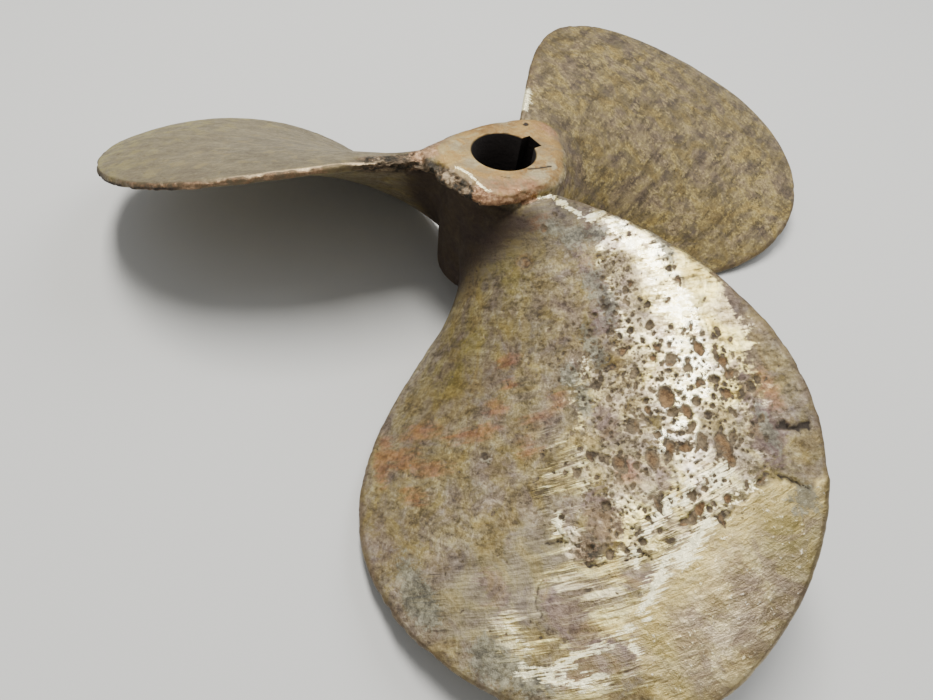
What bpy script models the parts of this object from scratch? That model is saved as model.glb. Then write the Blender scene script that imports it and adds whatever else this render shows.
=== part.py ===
"""A ship's propeller: one bronze casting, a hub with a keyed, tapered bore and three blades.

It lies with its shaft axis upright and the large, forward end of the hub on top, and rests on the
low edges of its blades. One blade is worn short at the tip. Sizes are in metres, and heights are
measured from the hub's top face. A blade station x is a share of the tip radius.
"""

import math

import bmesh
import bpy
from mathutils import Matrix

# Overall sizes
TIP_RADIUS = 0.250
WORN_TIP_RADIUS = 0.227
HUB_LENGTH = 0.073

# Hub
FACE_RADIUS = 0.0255
HUB_TOP_RADIUS = 0.0305
SHOULDER_DEPTH = 0.006
SHOULDER_STEPS = 4
HUB_BOTTOM_RADIUS = 0.0290
BOTTOM_CHAMFER = 0.0015
HUB_SIDES = 72

# Bore and keyway, for a key of the standard width on a shaft of the bore's top diameter
BORE_DIAMETER = 0.032
BORE_TAPER = 0.10
KEY_WIDTH = 0.010
KEYWAY_DEPTH = 0.0040
KEYWAY_BEARING = math.radians(23)
CUT_OVERRUN = 0.004

# Blade pitch: the advance in one turn, greatest half way out
PITCH = 0.420
PITCH_FALL = 0.077
FULL_PITCH_STATION = 0.5

# Blade outline: chord lengths along the pitch line
CHORD_GROWTH = 0.300
OUTLINE_POWER = 3.5
OUTLINE_ROUNDNESS = 0.69
FOOT_MARGIN = 0.0025
FOOT_SHIFT = 0.0045
TIP_SKEW = 0.008
TIP_SKEW_POWER = 16

# Blade lean: how far the middle of the chord drops below the middle of the hub
LEAN = 0.0113
TIP_LEAN = 0.010
TIP_LEAN_POWER = 8

# Blade thickness
FOOT_THICKNESS = 0.020
EDGE_THICKNESS = 0.004
UPPER_FILLET_HEIGHT = 0.024
UPPER_FILLET_LENGTH = 0.038
LOWER_FILLET_HEIGHT = 0.009
LOWER_FILLET_LENGTH = 0.012
FOOT_SINK = 0.004

# How finely a blade is drawn
FILLET_STATIONS = 8
BLADE_STATIONS = 18
CHORD_STEPS = 12
NOSE_STEPS = 4
LAST_STATION = 0.998

BLADE_BEARINGS = [math.radians(bearing) for bearing in (-90, 30, 150)]
BLADE_REACHES = [TIP_RADIUS, TIP_RADIUS, WORN_TIP_RADIUS]

BRONZE_COLOUR = (0.36, 0.27, 0.11, 1.0)
BRONZE_ROUGHNESS = 0.45
BRONZE_METALLIC = 0.9


def clear_scene():
    for thing in list(bpy.data.objects):
        bpy.data.objects.remove(thing, do_unlink=True)


def new_collection(name):
    collection = bpy.data.collections.new(name)
    bpy.context.scene.collection.children.link(collection)
    return collection


def bronze():
    material = bpy.data.materials.new("worn_bronze")
    material.use_nodes = True
    shader = material.node_tree.nodes["Principled BSDF"]
    shader.inputs["Base Color"].default_value = BRONZE_COLOUR
    shader.inputs["Roughness"].default_value = BRONZE_ROUGHNESS
    shader.inputs["Metallic"].default_value = BRONZE_METALLIC
    return material


def new_object(name, mesh, collection, parent):
    thing = bpy.data.objects.new(name, mesh)
    thing.parent = parent
    collection.objects.link(thing)
    return thing


def hide_as_tool(thing):
    thing.hide_render = True
    thing.display_type = "WIRE"


# Turned shapes

def turned(name, profile, collection, parent):
    """A profile of radius and height pairs, from the top down, turned about the shaft axis."""
    mesh = bpy.data.meshes.new(name)
    points = [(radius, 0, height) for radius, height in profile]
    edges = [(i, i + 1) for i in range(len(points) - 1)]
    mesh.from_pydata(points, edges, [])
    thing = new_object(name, mesh, collection, parent)
    screw = thing.modifiers.new("turn", "SCREW")
    screw.axis = "Z"
    screw.steps = HUB_SIDES
    screw.render_steps = HUB_SIDES
    screw.use_merge_vertices = True
    screw.merge_threshold = 0.00001
    screw.use_smooth_shade = True
    return thing


def hub_profile():
    """Flat ends, an upper shoulder rounded off by a quarter ellipse, and a chamfered lower rim."""
    turns = [math.pi / 2 * i / SHOULDER_STEPS for i in range(SHOULDER_STEPS + 1)]
    width = HUB_TOP_RADIUS - FACE_RADIUS
    shoulder = [
        (FACE_RADIUS + width * math.sin(turn), SHOULDER_DEPTH * (math.cos(turn) - 1))
        for turn in turns
    ]
    return [(0, 0)] + shoulder + [
        (HUB_BOTTOM_RADIUS, -HUB_LENGTH + BOTTOM_CHAMFER),
        (HUB_BOTTOM_RADIUS - BOTTOM_CHAMFER, -HUB_LENGTH),
        (0, -HUB_LENGTH),
    ]


def bore_radius(height):
    """The bore narrows downward, by its taper on the diameter."""
    return (BORE_DIAMETER + BORE_TAPER * height) / 2


def bore_cutter(collection, parent):
    """Turned by half a side, so that its corners fall between the hub's."""
    top = CUT_OVERRUN
    bottom = -HUB_LENGTH - CUT_OVERRUN
    profile = [(0, top), (bore_radius(top), top), (bore_radius(bottom), bottom), (0, bottom)]
    cutter = turned("bore_cutter", profile, collection, parent)
    cutter.rotation_euler.z = math.pi / HUB_SIDES
    return cutter


def keyway_cutter(collection, parent):
    """A bar from the axis out to the keyway's floor, which runs along the taper."""
    middle = -HUB_LENGTH / 2
    depth = bore_radius(middle) + KEYWAY_DEPTH
    slope = math.atan(BORE_TAPER / 2)
    bm = bmesh.new()
    bmesh.ops.create_cube(bm, size=1)
    bmesh.ops.scale(bm, verts=bm.verts, vec=(depth, KEY_WIDTH, HUB_LENGTH + 2 * CUT_OVERRUN))
    bmesh.ops.translate(bm, verts=bm.verts, vec=(-depth / 2, 0, 0))
    mesh = bpy.data.meshes.new("keyway_cutter")
    bm.to_mesh(mesh)
    bm.free()
    tilt = Matrix.Translation((depth, 0, middle)) @ Matrix.Rotation(slope, 4, "Y")
    mesh.transform(Matrix.Rotation(KEYWAY_BEARING, 4, "Z") @ tilt)
    return new_object("keyway_cutter", mesh, collection, parent)


# Blades

def pitch_radius(x):
    """The rise for each radian of turn."""
    off_peak = (x - FULL_PITCH_STATION) / (1 - FULL_PITCH_STATION)
    return (PITCH - PITCH_FALL * off_peak ** 2) / (2 * math.pi)


def foot_chord():
    """The chord that makes the blade's foot as tall as the hub, less a margin at each end."""
    rise = pitch_radius(HUB_BOTTOM_RADIUS / TIP_RADIUS)
    height = HUB_LENGTH - 2 * FOOT_MARGIN
    return height * math.hypot(HUB_BOTTOM_RADIUS, rise) / rise


def half_chord(x):
    growth = CHORD_GROWTH * (x - HUB_BOTTOM_RADIUS / TIP_RADIUS)
    rounding = (1 - x ** OUTLINE_POWER) ** OUTLINE_ROUNDNESS
    return (foot_chord() + growth) * rounding / 2


def chord_middle(x):
    return TIP_SKEW * x ** TIP_SKEW_POWER - FOOT_SHIFT * (1 - x) ** 2


def drop(x):
    return HUB_LENGTH / 2 + LEAN * x + TIP_LEAN * x ** TIP_LEAN_POWER


def bulge(x):
    """How far the upper face stands out at mid chord, beyond the edge's own thickness."""
    inner = HUB_BOTTOM_RADIUS / TIP_RADIUS
    return (FOOT_THICKNESS - EDGE_THICKNESS) * min(1, (1 - x) / (1 - inner))


def fillet(x, height, length):
    """The round where the blade runs into the hub, as extra thickness on one face."""
    clear = min(max((TIP_RADIUS * x - HUB_BOTTOM_RADIUS) / length, 0), 1)
    return height * (1 - math.sqrt(1 - (1 - clear) ** 2))


def upper_face(x, s):
    """Height of the upper face over the edges' middle, at a share s of the half chord.

    Its fillet is fuller toward the high edge, where a web runs flush into the hub's top.
    """
    web = fillet(x, UPPER_FILLET_HEIGHT, UPPER_FILLET_LENGTH) * (1 + s) / 2
    return EDGE_THICKNESS / 2 + bulge(x) * (1 - s ** 2) + web * (1 - s ** 4)


def lower_face(x, s):
    return -EDGE_THICKNESS / 2 - fillet(x, LOWER_FILLET_HEIGHT, LOWER_FILLET_LENGTH) * (1 - s ** 4)


def section(x):
    """Chord and thickness places round one section: lower face, high nose, upper face, low nose."""
    nose = EDGE_THICKNESS / 2
    flat = half_chord(x) - nose
    shares = [-math.cos(math.pi * i / CHORD_STEPS) for i in range(CHORD_STEPS + 1)]
    turns = [math.pi * (i / NOSE_STEPS - 0.5) for i in range(1, NOSE_STEPS)]
    lower = [(flat * s, lower_face(x, s)) for s in shares]
    upper = [(flat * s, upper_face(x, s)) for s in shares]
    high_nose = [(flat + nose * math.cos(t), nose * math.sin(t)) for t in turns]
    low_nose = [(-flat - nose * math.cos(t), nose * math.sin(t)) for t in reversed(turns)]
    return lower + high_nose + upper[::-1] + low_nose


def blade_point(x, chord, thickness, reach, bearing):
    """A place on a section, wrapped round the axis along the pitch line."""
    radius = TIP_RADIUS * x
    rise = pitch_radius(x)
    slant = math.hypot(radius, rise)
    along = chord + chord_middle(x)
    turn = bearing + (along - thickness * rise / radius) / slant
    height = (along * rise + thickness * radius) / slant - drop(x)
    shrink = (reach - HUB_BOTTOM_RADIUS) / (TIP_RADIUS - HUB_BOTTOM_RADIUS)
    worn_radius = HUB_BOTTOM_RADIUS + (radius - HUB_BOTTOM_RADIUS) * shrink
    return (worn_radius * math.cos(turn), worn_radius * math.sin(turn), height)


def stations():
    """One inside the hub, then closer together in the fillet and where the tip rounds off."""
    wall = HUB_BOTTOM_RADIUS / TIP_RADIUS
    clear = (HUB_BOTTOM_RADIUS + UPPER_FILLET_LENGTH) / TIP_RADIUS
    sunk = (HUB_BOTTOM_RADIUS - FOOT_SINK) / TIP_RADIUS
    inner = [wall + (clear - wall) * (i / FILLET_STATIONS) ** 2 for i in range(FILLET_STATIONS)]
    quarter = [math.pi / 2 * i / BLADE_STATIONS for i in range(BLADE_STATIONS + 1)]
    outer = [clear + (LAST_STATION - clear) * math.sin(turn) for turn in quarter]
    return [sunk] + inner + outer


def blade(name, bearing, reach, collection, parent):
    bm = bmesh.new()
    rings = []
    for x in stations():
        points = [blade_point(x, chord, thickness, reach, bearing) for chord, thickness in section(x)]
        rings.append([bm.verts.new(point) for point in points])
    for inner, outer in zip(rings, rings[1:]):
        for j in range(len(inner)):
            k = (j + 1) % len(inner)
            bm.faces.new((inner[j], inner[k], outer[k], outer[j]))
    bm.faces.new(rings[0])
    bm.faces.new(rings[-1])
    bmesh.ops.recalc_face_normals(bm, faces=bm.faces)
    mesh = bpy.data.meshes.new(name)
    bm.to_mesh(mesh)
    bm.free()
    mesh.shade_smooth()
    return new_object(name, mesh, collection, parent)


# The casting

def add_boolean(thing, tool, operation):
    modifier = thing.modifiers.new(tool.name, "BOOLEAN")
    modifier.operation = operation
    modifier.solver = "EXACT"
    modifier.object = tool
    hide_as_tool(tool)


def build_propeller(parts, tools, axis):
    casting = turned("propeller", hub_profile(), parts, axis)
    casting.data.materials.append(bronze())
    for i, (bearing, reach) in enumerate(zip(BLADE_BEARINGS, BLADE_REACHES), start=1):
        add_boolean(casting, blade(f"blade_{i}", bearing, reach, tools, axis), "UNION")
    add_boolean(casting, bore_cutter(tools, axis), "DIFFERENCE")
    add_boolean(casting, keyway_cutter(tools, axis), "DIFFERENCE")
    return casting


def stand_on_origin(casting, axis):
    """Moves the shaft axis so that the casting rests on the floor, centred over the origin."""
    bpy.context.view_layer.update()
    finished = casting.evaluated_get(bpy.context.evaluated_depsgraph_get())
    xs, ys, zs = zip(*(vertex.co for vertex in finished.data.vertices))
    axis.location = (-(min(xs) + max(xs)) / 2, -(min(ys) + max(ys)) / 2, -min(zs))
    bpy.context.view_layer.update()


def main():
    clear_scene()
    parts = new_collection("ship_propeller")
    tools = new_collection("blade_blanks_and_cutters")
    axis = bpy.data.objects.new("shaft_axis", None)
    parts.objects.link(axis)
    casting = build_propeller(parts, tools, axis)
    stand_on_origin(casting, axis)


main()
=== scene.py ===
"""The looks of a worn bronze ship's propeller: its casting in full detail, its patina, and the studio.

Sizes are in metres. The casting is worked in the shaft's own frame, with the middle of the hub's top
face at the origin, and is moved to its place at the end. A blade station x is a share of the tip
radius, and a share s of the half chord runs from -1 at the low edge to 1 at the high edge.
"""

import math

import bmesh
import bpy
import numpy as np
from mathutils import Matrix, Vector


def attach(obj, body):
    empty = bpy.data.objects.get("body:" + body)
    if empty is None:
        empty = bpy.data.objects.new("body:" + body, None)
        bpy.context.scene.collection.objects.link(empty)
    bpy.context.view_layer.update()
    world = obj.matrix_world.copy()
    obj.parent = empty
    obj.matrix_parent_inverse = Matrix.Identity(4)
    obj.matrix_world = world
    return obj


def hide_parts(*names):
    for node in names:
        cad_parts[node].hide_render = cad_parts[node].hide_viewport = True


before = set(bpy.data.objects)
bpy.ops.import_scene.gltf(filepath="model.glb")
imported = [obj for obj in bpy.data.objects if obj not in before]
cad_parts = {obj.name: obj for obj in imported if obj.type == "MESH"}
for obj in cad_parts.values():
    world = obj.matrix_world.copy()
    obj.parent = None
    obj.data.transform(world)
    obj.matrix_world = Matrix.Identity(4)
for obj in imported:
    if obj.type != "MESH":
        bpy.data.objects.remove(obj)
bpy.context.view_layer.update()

# The casting's sizes, as in its CAD source
SHAFT_AXIS = (-0.00893, 0.04135, 0.08614)
TIP_RADIUS = 0.250
WORN_TIP_RADIUS = 0.227
HUB_LENGTH = 0.073
HUB_BOTTOM_RADIUS = 0.0290
BORE_DIAMETER = 0.032
BORE_TAPER = 0.10
KEY_WIDTH = 0.010
KEYWAY_DEPTH = 0.0040
KEYWAY_BEARING = math.radians(23)
PITCH = 0.420
PITCH_FALL = 0.077
CHORD_GROWTH = 0.300
OUTLINE_POWER = 3.5
OUTLINE_ROUNDNESS = 0.69
FOOT_MARGIN = 0.0025
FOOT_SHIFT = 0.0045
TIP_SKEW = 0.008
TIP_SKEW_POWER = 16
LEAN = 0.0113
TIP_LEAN = 0.010
TIP_LEAN_POWER = 8
FOOT_THICKNESS = 0.020
EDGE_THICKNESS = 0.004
UPPER_FILLET = (0.024, 0.038)
LOWER_FILLET = (0.009, 0.012)
WALL_STATION = HUB_BOTTOM_RADIUS / TIP_RADIUS
BLADE_BEARINGS = [math.radians(bearing) for bearing in (-90, 30, 150)]
BLADE_REACHES = [TIP_RADIUS, TIP_RADIUS, WORN_TIP_RADIUS]
NEAR_BLADE, FAR_BLADE, SHORT_BLADE = 0, 1, 2

# How finely the casting is drawn
GRAIN = 0.00065
TRIANGLES = 197000

# The photograph's camera
FOCAL_LENGTH = 28.49
SENSOR_WIDTH = 36.0
CAMERA_TURN = math.radians(-16.92)
CAMERA_PLACE = (-0.0061, -0.3160, 0.2044)
CAMERA_TILT = math.radians(41.80)
CAMERA_ROLL = math.radians(7.10)


# Blade laws

def pitch_radius(x):
    """The rise for each radian of turn."""
    return (PITCH - PITCH_FALL * (2 * x - 1) ** 2) / (2 * math.pi)


def foot_chord():
    rise = pitch_radius(WALL_STATION)
    return (HUB_LENGTH - 2 * FOOT_MARGIN) * math.hypot(HUB_BOTTOM_RADIUS, rise) / rise


def half_chord(x):
    rounding = np.maximum(1 - x ** OUTLINE_POWER, 0) ** OUTLINE_ROUNDNESS
    return (foot_chord() + CHORD_GROWTH * (x - WALL_STATION)) * rounding / 2


def chord_middle(x):
    return TIP_SKEW * x ** TIP_SKEW_POWER - FOOT_SHIFT * (1 - x) ** 2


def drop(x):
    return HUB_LENGTH / 2 + LEAN * x + TIP_LEAN * x ** TIP_LEAN_POWER


def fillet(x, size):
    height, length = size
    clear = np.clip((TIP_RADIUS * x - HUB_BOTTOM_RADIUS) / length, 0, 1)
    return height * (1 - np.sqrt(1 - (1 - clear) ** 2))


def upper_face(x, s):
    bulge = (FOOT_THICKNESS - EDGE_THICKNESS) * np.minimum(1, (1 - x) / (1 - WALL_STATION))
    web = fillet(x, UPPER_FILLET) * (1 + s) / 2
    return EDGE_THICKNESS / 2 + bulge * (1 - s ** 2) + web * (1 - s ** 4)


def lower_face(x, s):
    return -EDGE_THICKNESS / 2 - fillet(x, LOWER_FILLET) * (1 - s ** 4)


def wear(blade):
    """How far a blade has lost its length, as a share of what stands out from the hub."""
    return (BLADE_REACHES[blade] - HUB_BOTTOM_RADIUS) / (TIP_RADIUS - HUB_BOTTOM_RADIUS)


def blade_points(x, chord, thickness, blade):
    radius = TIP_RADIUS * x
    rise = pitch_radius(x)
    slant = np.hypot(radius, rise)
    along = chord + chord_middle(x)
    turn = BLADE_BEARINGS[blade] + (along - thickness * rise / radius) / slant
    height = (along * rise + thickness * radius) / slant - drop(x)
    worn = HUB_BOTTOM_RADIUS + (radius - HUB_BOTTOM_RADIUS) * wear(blade)
    return np.stack([worn * np.cos(turn), worn * np.sin(turn), height], axis=-1)


def blade_places(points, blade):
    """The way back: radius, chord and thickness places of points on one blade."""
    worn = np.hypot(points[:, 0], points[:, 1])
    radius = HUB_BOTTOM_RADIUS + (worn - HUB_BOTTOM_RADIUS) / wear(blade)
    radius = np.clip(radius, 0.010, 0.2505)
    x = radius / TIP_RADIUS
    rise = pitch_radius(x)
    slant = np.hypot(radius, rise)
    turn = np.arctan2(points[:, 1], points[:, 0]) - BLADE_BEARINGS[blade]
    turn = (turn + math.pi) % (2 * math.pi) - math.pi
    over = points[:, 2] + drop(x) - rise * turn
    chord = turn * slant + rise * over / slant - chord_middle(x)
    return np.stack([radius, chord, radius * over / slant], axis=-1)


# Steady random fields

def scatter(i, j, k, seed):
    """A number from 0 to 1 for each corner of a lattice, always the same one."""
    mixed = (i * 73856093) ^ (j * 19349663) ^ (k * 83492791) ^ (seed * 26544357)
    mixed = ((mixed ^ (mixed >> 13)) * 1274126177) & 0x7FFFFFFF
    mixed = ((mixed ^ (mixed >> 15)) * 668265263) & 0x7FFFFFFF
    return (mixed >> 7) / float(0xFFFFFF)


def drift(points, size, seed):
    """Smooth lumps of about that size, from -1 to 1."""
    place = points / size
    corner = np.floor(place).astype(np.int64)
    part = place - corner
    part = part ** 3 * (part * (part * 6 - 15) + 10)
    total = np.zeros(len(points))
    for step in range(8):
        offset = np.array([step & 1, step >> 1 & 1, step >> 2 & 1])
        weight = np.prod(np.where(offset, part, 1 - part), axis=1)
        total += weight * scatter(*(corner + offset).T, seed)
    return total * 2 - 1


def rough(points, size, seed, layers=3):
    """Lumps with finer lumps on them."""
    field = sum(drift(points, size / 2 ** n, seed + n) / 2 ** n for n in range(layers))
    return field / (2 - 0.5 ** (layers - 1))


def ease(value, start, end):
    """0 before start, 1 past end, and smooth between."""
    part = np.clip((value - start) / (end - start), 0, 1)
    return part * part * (3 - 2 * part)


def between(value, start, full, fading, end):
    """1 between full and fading, 0 outside start and end, and smooth between."""
    return ease(value, start, full) * (1 - ease(value, fading, end))


def spot(places, centre, size):
    """A soft round field, that is 1 at its centre: centre and size in millimetres."""
    off = (places[:, :2] * 1000 - np.array(centre)) / np.array(size)
    return np.exp(-(off ** 2).sum(axis=1))


def spots(places, table):
    """Soft round fields laid over each other, each an entry of its centre and then its size."""
    total = sum(spot(places, entry[:2], entry[2:4]) for entry in table)
    return np.clip(total, 0, 1)


# Blanks: closed shells that overlap, before they are made one

def object_of(name, mesh):
    made = bpy.data.objects.new(name, mesh)
    bpy.context.scene.collection.objects.link(made)
    return made


def closed_mesh(name, points, faces):
    """A mesh whose faces all look outward."""
    mesh = bpy.data.meshes.new(name)
    mesh.from_pydata(points.tolist(), [], faces)
    bm = bmesh.new()
    bm.from_mesh(mesh)
    bmesh.ops.recalc_face_normals(bm, faces=bm.faces)
    bm.to_mesh(mesh)
    bm.free()
    return mesh


def ring(radius, turns, height):
    return np.stack([radius * np.cos(turns), radius * np.sin(turns), height + 0 * turns], axis=1)


def shell_of_rings(rings):
    """A closed shell over rings of points, each ring as long as the next."""
    count = len(rings[0])
    points = np.concatenate(rings)
    faces = []
    for i in range(len(rings) - 1):
        for j in range(count):
            k = (j + 1) % count
            faces.append((i * count + j, i * count + k, (i + 1) * count + k, (i + 1) * count + j))
    faces.append(tuple(range(count)))
    faces.append(tuple(range((len(rings) - 1) * count, len(rings) * count)))
    return points, faces


BLADE_STATIONS = 150
CHORD_STEPS = 110
NOSE_STEPS = 6


def blade_section(x):
    """Chord and thickness places round one section."""
    nose = EDGE_THICKNESS / 2
    flat = half_chord(x) - nose
    shares = -np.cos(np.pi * np.arange(CHORD_STEPS + 1) / CHORD_STEPS)
    turns = np.pi * (np.arange(1, NOSE_STEPS) / NOSE_STEPS - 0.5)
    lower = np.stack([flat * shares, lower_face(x, shares)], axis=1)
    upper = np.stack([flat * shares, upper_face(x, shares)], axis=1)[::-1]
    high_nose = np.stack([flat + nose * np.cos(turns), nose * np.sin(turns)], axis=1)
    low_nose = np.stack([-flat - nose * np.cos(turns), nose * np.sin(turns)], axis=1)[::-1]
    return np.concatenate([lower, high_nose, upper, low_nose])


def blade_blank(blade):
    start = (HUB_BOTTOM_RADIUS - 0.006) / TIP_RADIUS
    turns = np.linspace(0, math.pi / 2, BLADE_STATIONS)
    stations = start + (0.9995 - start) * np.sin(turns)
    rings = []
    for x in stations:
        section = blade_section(x)
        rings.append(blade_points(x, section[:, 0], section[:, 1], blade))
    return shell_of_rings(rings)


# The hub's top rim has been hammered outward and torn: bearing in degrees, then in millimetres the
# reach of the lip, the edge of the flat face, and how far the lip sags below the face
LIP = (
    (-190, 48, 32, 5), (-177, 46, 30, 4.4), (-170, 39, 28, 4), (-157, 36, 27, 4), (-142, 36, 26, 4),
    (-134, 36, 27, 3.8), (-118, 38, 32, 3.6), (-107, 38, 34, 3.4), (-96, 36, 34, 3.2), (-88, 34, 32, 3.2),
    (-72, 32, 30, 3.2), (-55, 33, 29, 4), (-40, 33, 27, 4.5), (-12, 32, 26, 4.5), (14, 35, 29, 4),
    (28, 39, 33, 3.6), (40, 41, 36, 3.4), (50, 40, 35, 3.6), (62, 36, 31, 4.5), (75, 32, 26.5, 5),
    (97, 31, 24, 6.5), (120, 33, 23.5, 8.5), (133, 35, 24, 9), (148, 38, 26.5, 8.5), (160, 42, 29.5, 6.5),
)
HUB_TURNS = 600


def lip_at(turns):
    """The lip's reach, the flat face's edge and the lip's sag at these bearings."""
    bearings = [entry[0] for entry in LIP]
    return [
        np.interp(np.degrees(turns), bearings, [entry[column] for entry in LIP], period=360) / 1000
        for column in (1, 2, 3)
    ]


def torn_at(turns, reach):
    """How torn the lip is: from bearing 170 round to -55, less toward the near blade."""
    onward = (np.degrees(turns) + 190) % 360
    torn = ease(reach, 0.0325, 0.0355) * between(onward, 0, 10, 128, 140)
    return torn * (1 - 0.6 * ease(onward, 66, 80))


def hub_rings(turns):
    """Radius and height of the hub's outside, ring by ring from its top to its bottom."""
    reach, flat, sag = lip_at(turns)
    around = np.stack([np.cos(turns), np.sin(turns), np.zeros_like(turns)], axis=1)
    torn = torn_at(turns, reach)
    tear = 0.0016 * rough(around * 0.033, 0.006, 11) + 0.0010 * rough(around * 0.033, 0.0018, 14)
    reach = reach + torn * (tear + 0.0004)
    flat = flat + torn * 0.0010 * rough(around * 0.030, 0.004, 17)
    sag = sag * (1 + 0.25 * rough(around * 0.033, 0.005, 19))
    wall = 0.0300
    yield 0.010, 0
    yield 0.020, 0
    yield flat - 0.0012, 0
    yield flat, -0.0002
    for part in (0.25, 0.5, 0.75, 0.92):
        yield flat + (reach - flat) * part, -0.0002 - sag * part ** 1.3
    yield reach, -sag - 0.0008
    yield reach - 0.0003 - 0.0002 * torn, -sag - 0.0018 - 0.0006 * torn
    yield wall + (reach - wall) * 0.5, -sag - 0.0028 - 0.0016 * torn
    yield wall, -0.0095 - 0.002 * torn
    for part in np.linspace(0.2, 1, 16):
        height = -0.0095 - (HUB_LENGTH - 0.011) * part
        yield wall + (HUB_BOTTOM_RADIUS - wall) * part, height
    yield HUB_BOTTOM_RADIUS - 0.0015, -HUB_LENGTH
    yield 0.015, -HUB_LENGTH


def hub_blank():
    turns = np.linspace(-math.pi, math.pi, HUB_TURNS, endpoint=False)
    return shell_of_rings([ring(radius, turns, height) for radius, height in hub_rings(turns)])


def blanks():
    points, faces = [], []
    for shell_points, shell_faces in [hub_blank()] + [blade_blank(blade) for blade in range(3)]:
        start = sum(len(part) for part in points)
        points.append(shell_points)
        faces += [tuple(start + corner for corner in face) for face in shell_faces]
    return closed_mesh("propeller_blanks", np.concatenate(points), faces)


# Turning the blanks into one casting

def finished_mesh(thing):
    """The object's mesh with its modifiers applied, and the modifiers gone."""
    evaluated = thing.evaluated_get(bpy.context.evaluated_depsgraph_get())
    mesh = bpy.data.meshes.new_from_object(evaluated)
    thing.modifiers.clear()
    thing.data = mesh
    return mesh


def cast_in_one(thing):
    remesh = thing.modifiers.new("cast_in_one", "REMESH")
    remesh.mode = "VOXEL"
    remesh.voxel_size = GRAIN
    return finished_mesh(thing)


def thin_out(thing):
    """Fewer triangles, and none fewer where the casting is worked finely."""
    group = thing.vertex_groups.new(name="thinned")
    coarse = np.flatnonzero(~worked_finely(points_of(thing.data)))
    group.add(coarse.tolist(), 1.0, "REPLACE")
    thing.data.calc_loop_triangles()
    thin = thing.modifiers.new("thin_out", "DECIMATE")
    thin.ratio = min(1, TRIANGLES / len(thing.data.loop_triangles))
    thin.use_collapse_triangulate = True
    thin.vertex_group = group.name
    mesh = finished_mesh(thing)
    thing.vertex_groups.clear()
    return mesh


def triples(items, key):
    """One triple of numbers for each item of a mesh."""
    values = np.empty(len(items) * 3, np.float32)
    items.foreach_get(key, values)
    return values.reshape(-1, 3).astype(float)


def points_of(mesh):
    return triples(mesh.vertices, "co")


def move_points(mesh, points):
    mesh.vertices.foreach_set("co", points.astype(np.float32).ravel())
    mesh.update()


def smooth(mesh, share, passes):
    """Draws each point toward the middle of its neighbours, by a share of the way."""
    edges = np.empty(len(mesh.edges) * 2, np.int32)
    mesh.edges.foreach_get("vertices", edges)
    start, end = edges.reshape(-1, 2).T
    points = points_of(mesh)
    count = len(points)
    neighbours = np.bincount(start, minlength=count) + np.bincount(end, minlength=count)
    for _ in range(passes):
        middle = np.stack([
            np.bincount(start, points[end, axis], count) + np.bincount(end, points[start, axis], count)
            for axis in range(3)
        ], axis=1) / neighbours[:, None]
        points += (middle - points) * share[:, None]
    move_points(mesh, points)


class Lie:
    """Where points of the casting lie: their blade, their places on it, and whether on its upper face."""

    def __init__(self, points):
        places = np.stack([blade_places(points, blade) for blade in range(3)])
        self.points = points
        self.blade = np.abs(places[:, :, 2]).argmin(axis=0)
        self.places = places[self.blade, np.arange(len(points))]
        self.radius = np.hypot(points[:, 0], points[:, 1])
        self.height = points[:, 2]
        self.bearing = np.arctan2(points[:, 1], points[:, 0])
        self.degrees = np.degrees(self.bearing) % 360
        x = self.places[:, 0] / TIP_RADIUS
        self.share = np.clip(self.places[:, 1] / np.maximum(half_chord(x), 0.001), -1.2, 1.2)
        middle = (upper_face(x, self.share) + lower_face(x, self.share)) / 2
        self.upper = self.places[:, 2] > middle
        self.near = self.upper & (self.blade == NEAR_BLADE)
        self.on_blade = ease(self.radius, 0.034, 0.042)

    def on_near_face(self, field):
        """The values of a field of places, on the near blade's upper face only."""
        values = np.zeros(len(self.points))
        values[self.near] = field(self.places[self.near])
        return values


def soften(mesh):
    """Rounds the corner between the blades and the hub, and the grain of the remesh."""
    points = points_of(mesh)
    radius = np.hypot(points[:, 0], points[:, 1])
    corner = between(radius, 0.024, 0.028, 0.034, 0.044)
    corner *= 1 - ease(points[:, 2], -0.014, -0.010)
    smooth(mesh, np.full(len(points), 0.5), 2)
    smooth(mesh, 0.5 * corner, 30)


# Wear on the near blade's upper face, in millimetres of radius and chord, as measured there

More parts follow.
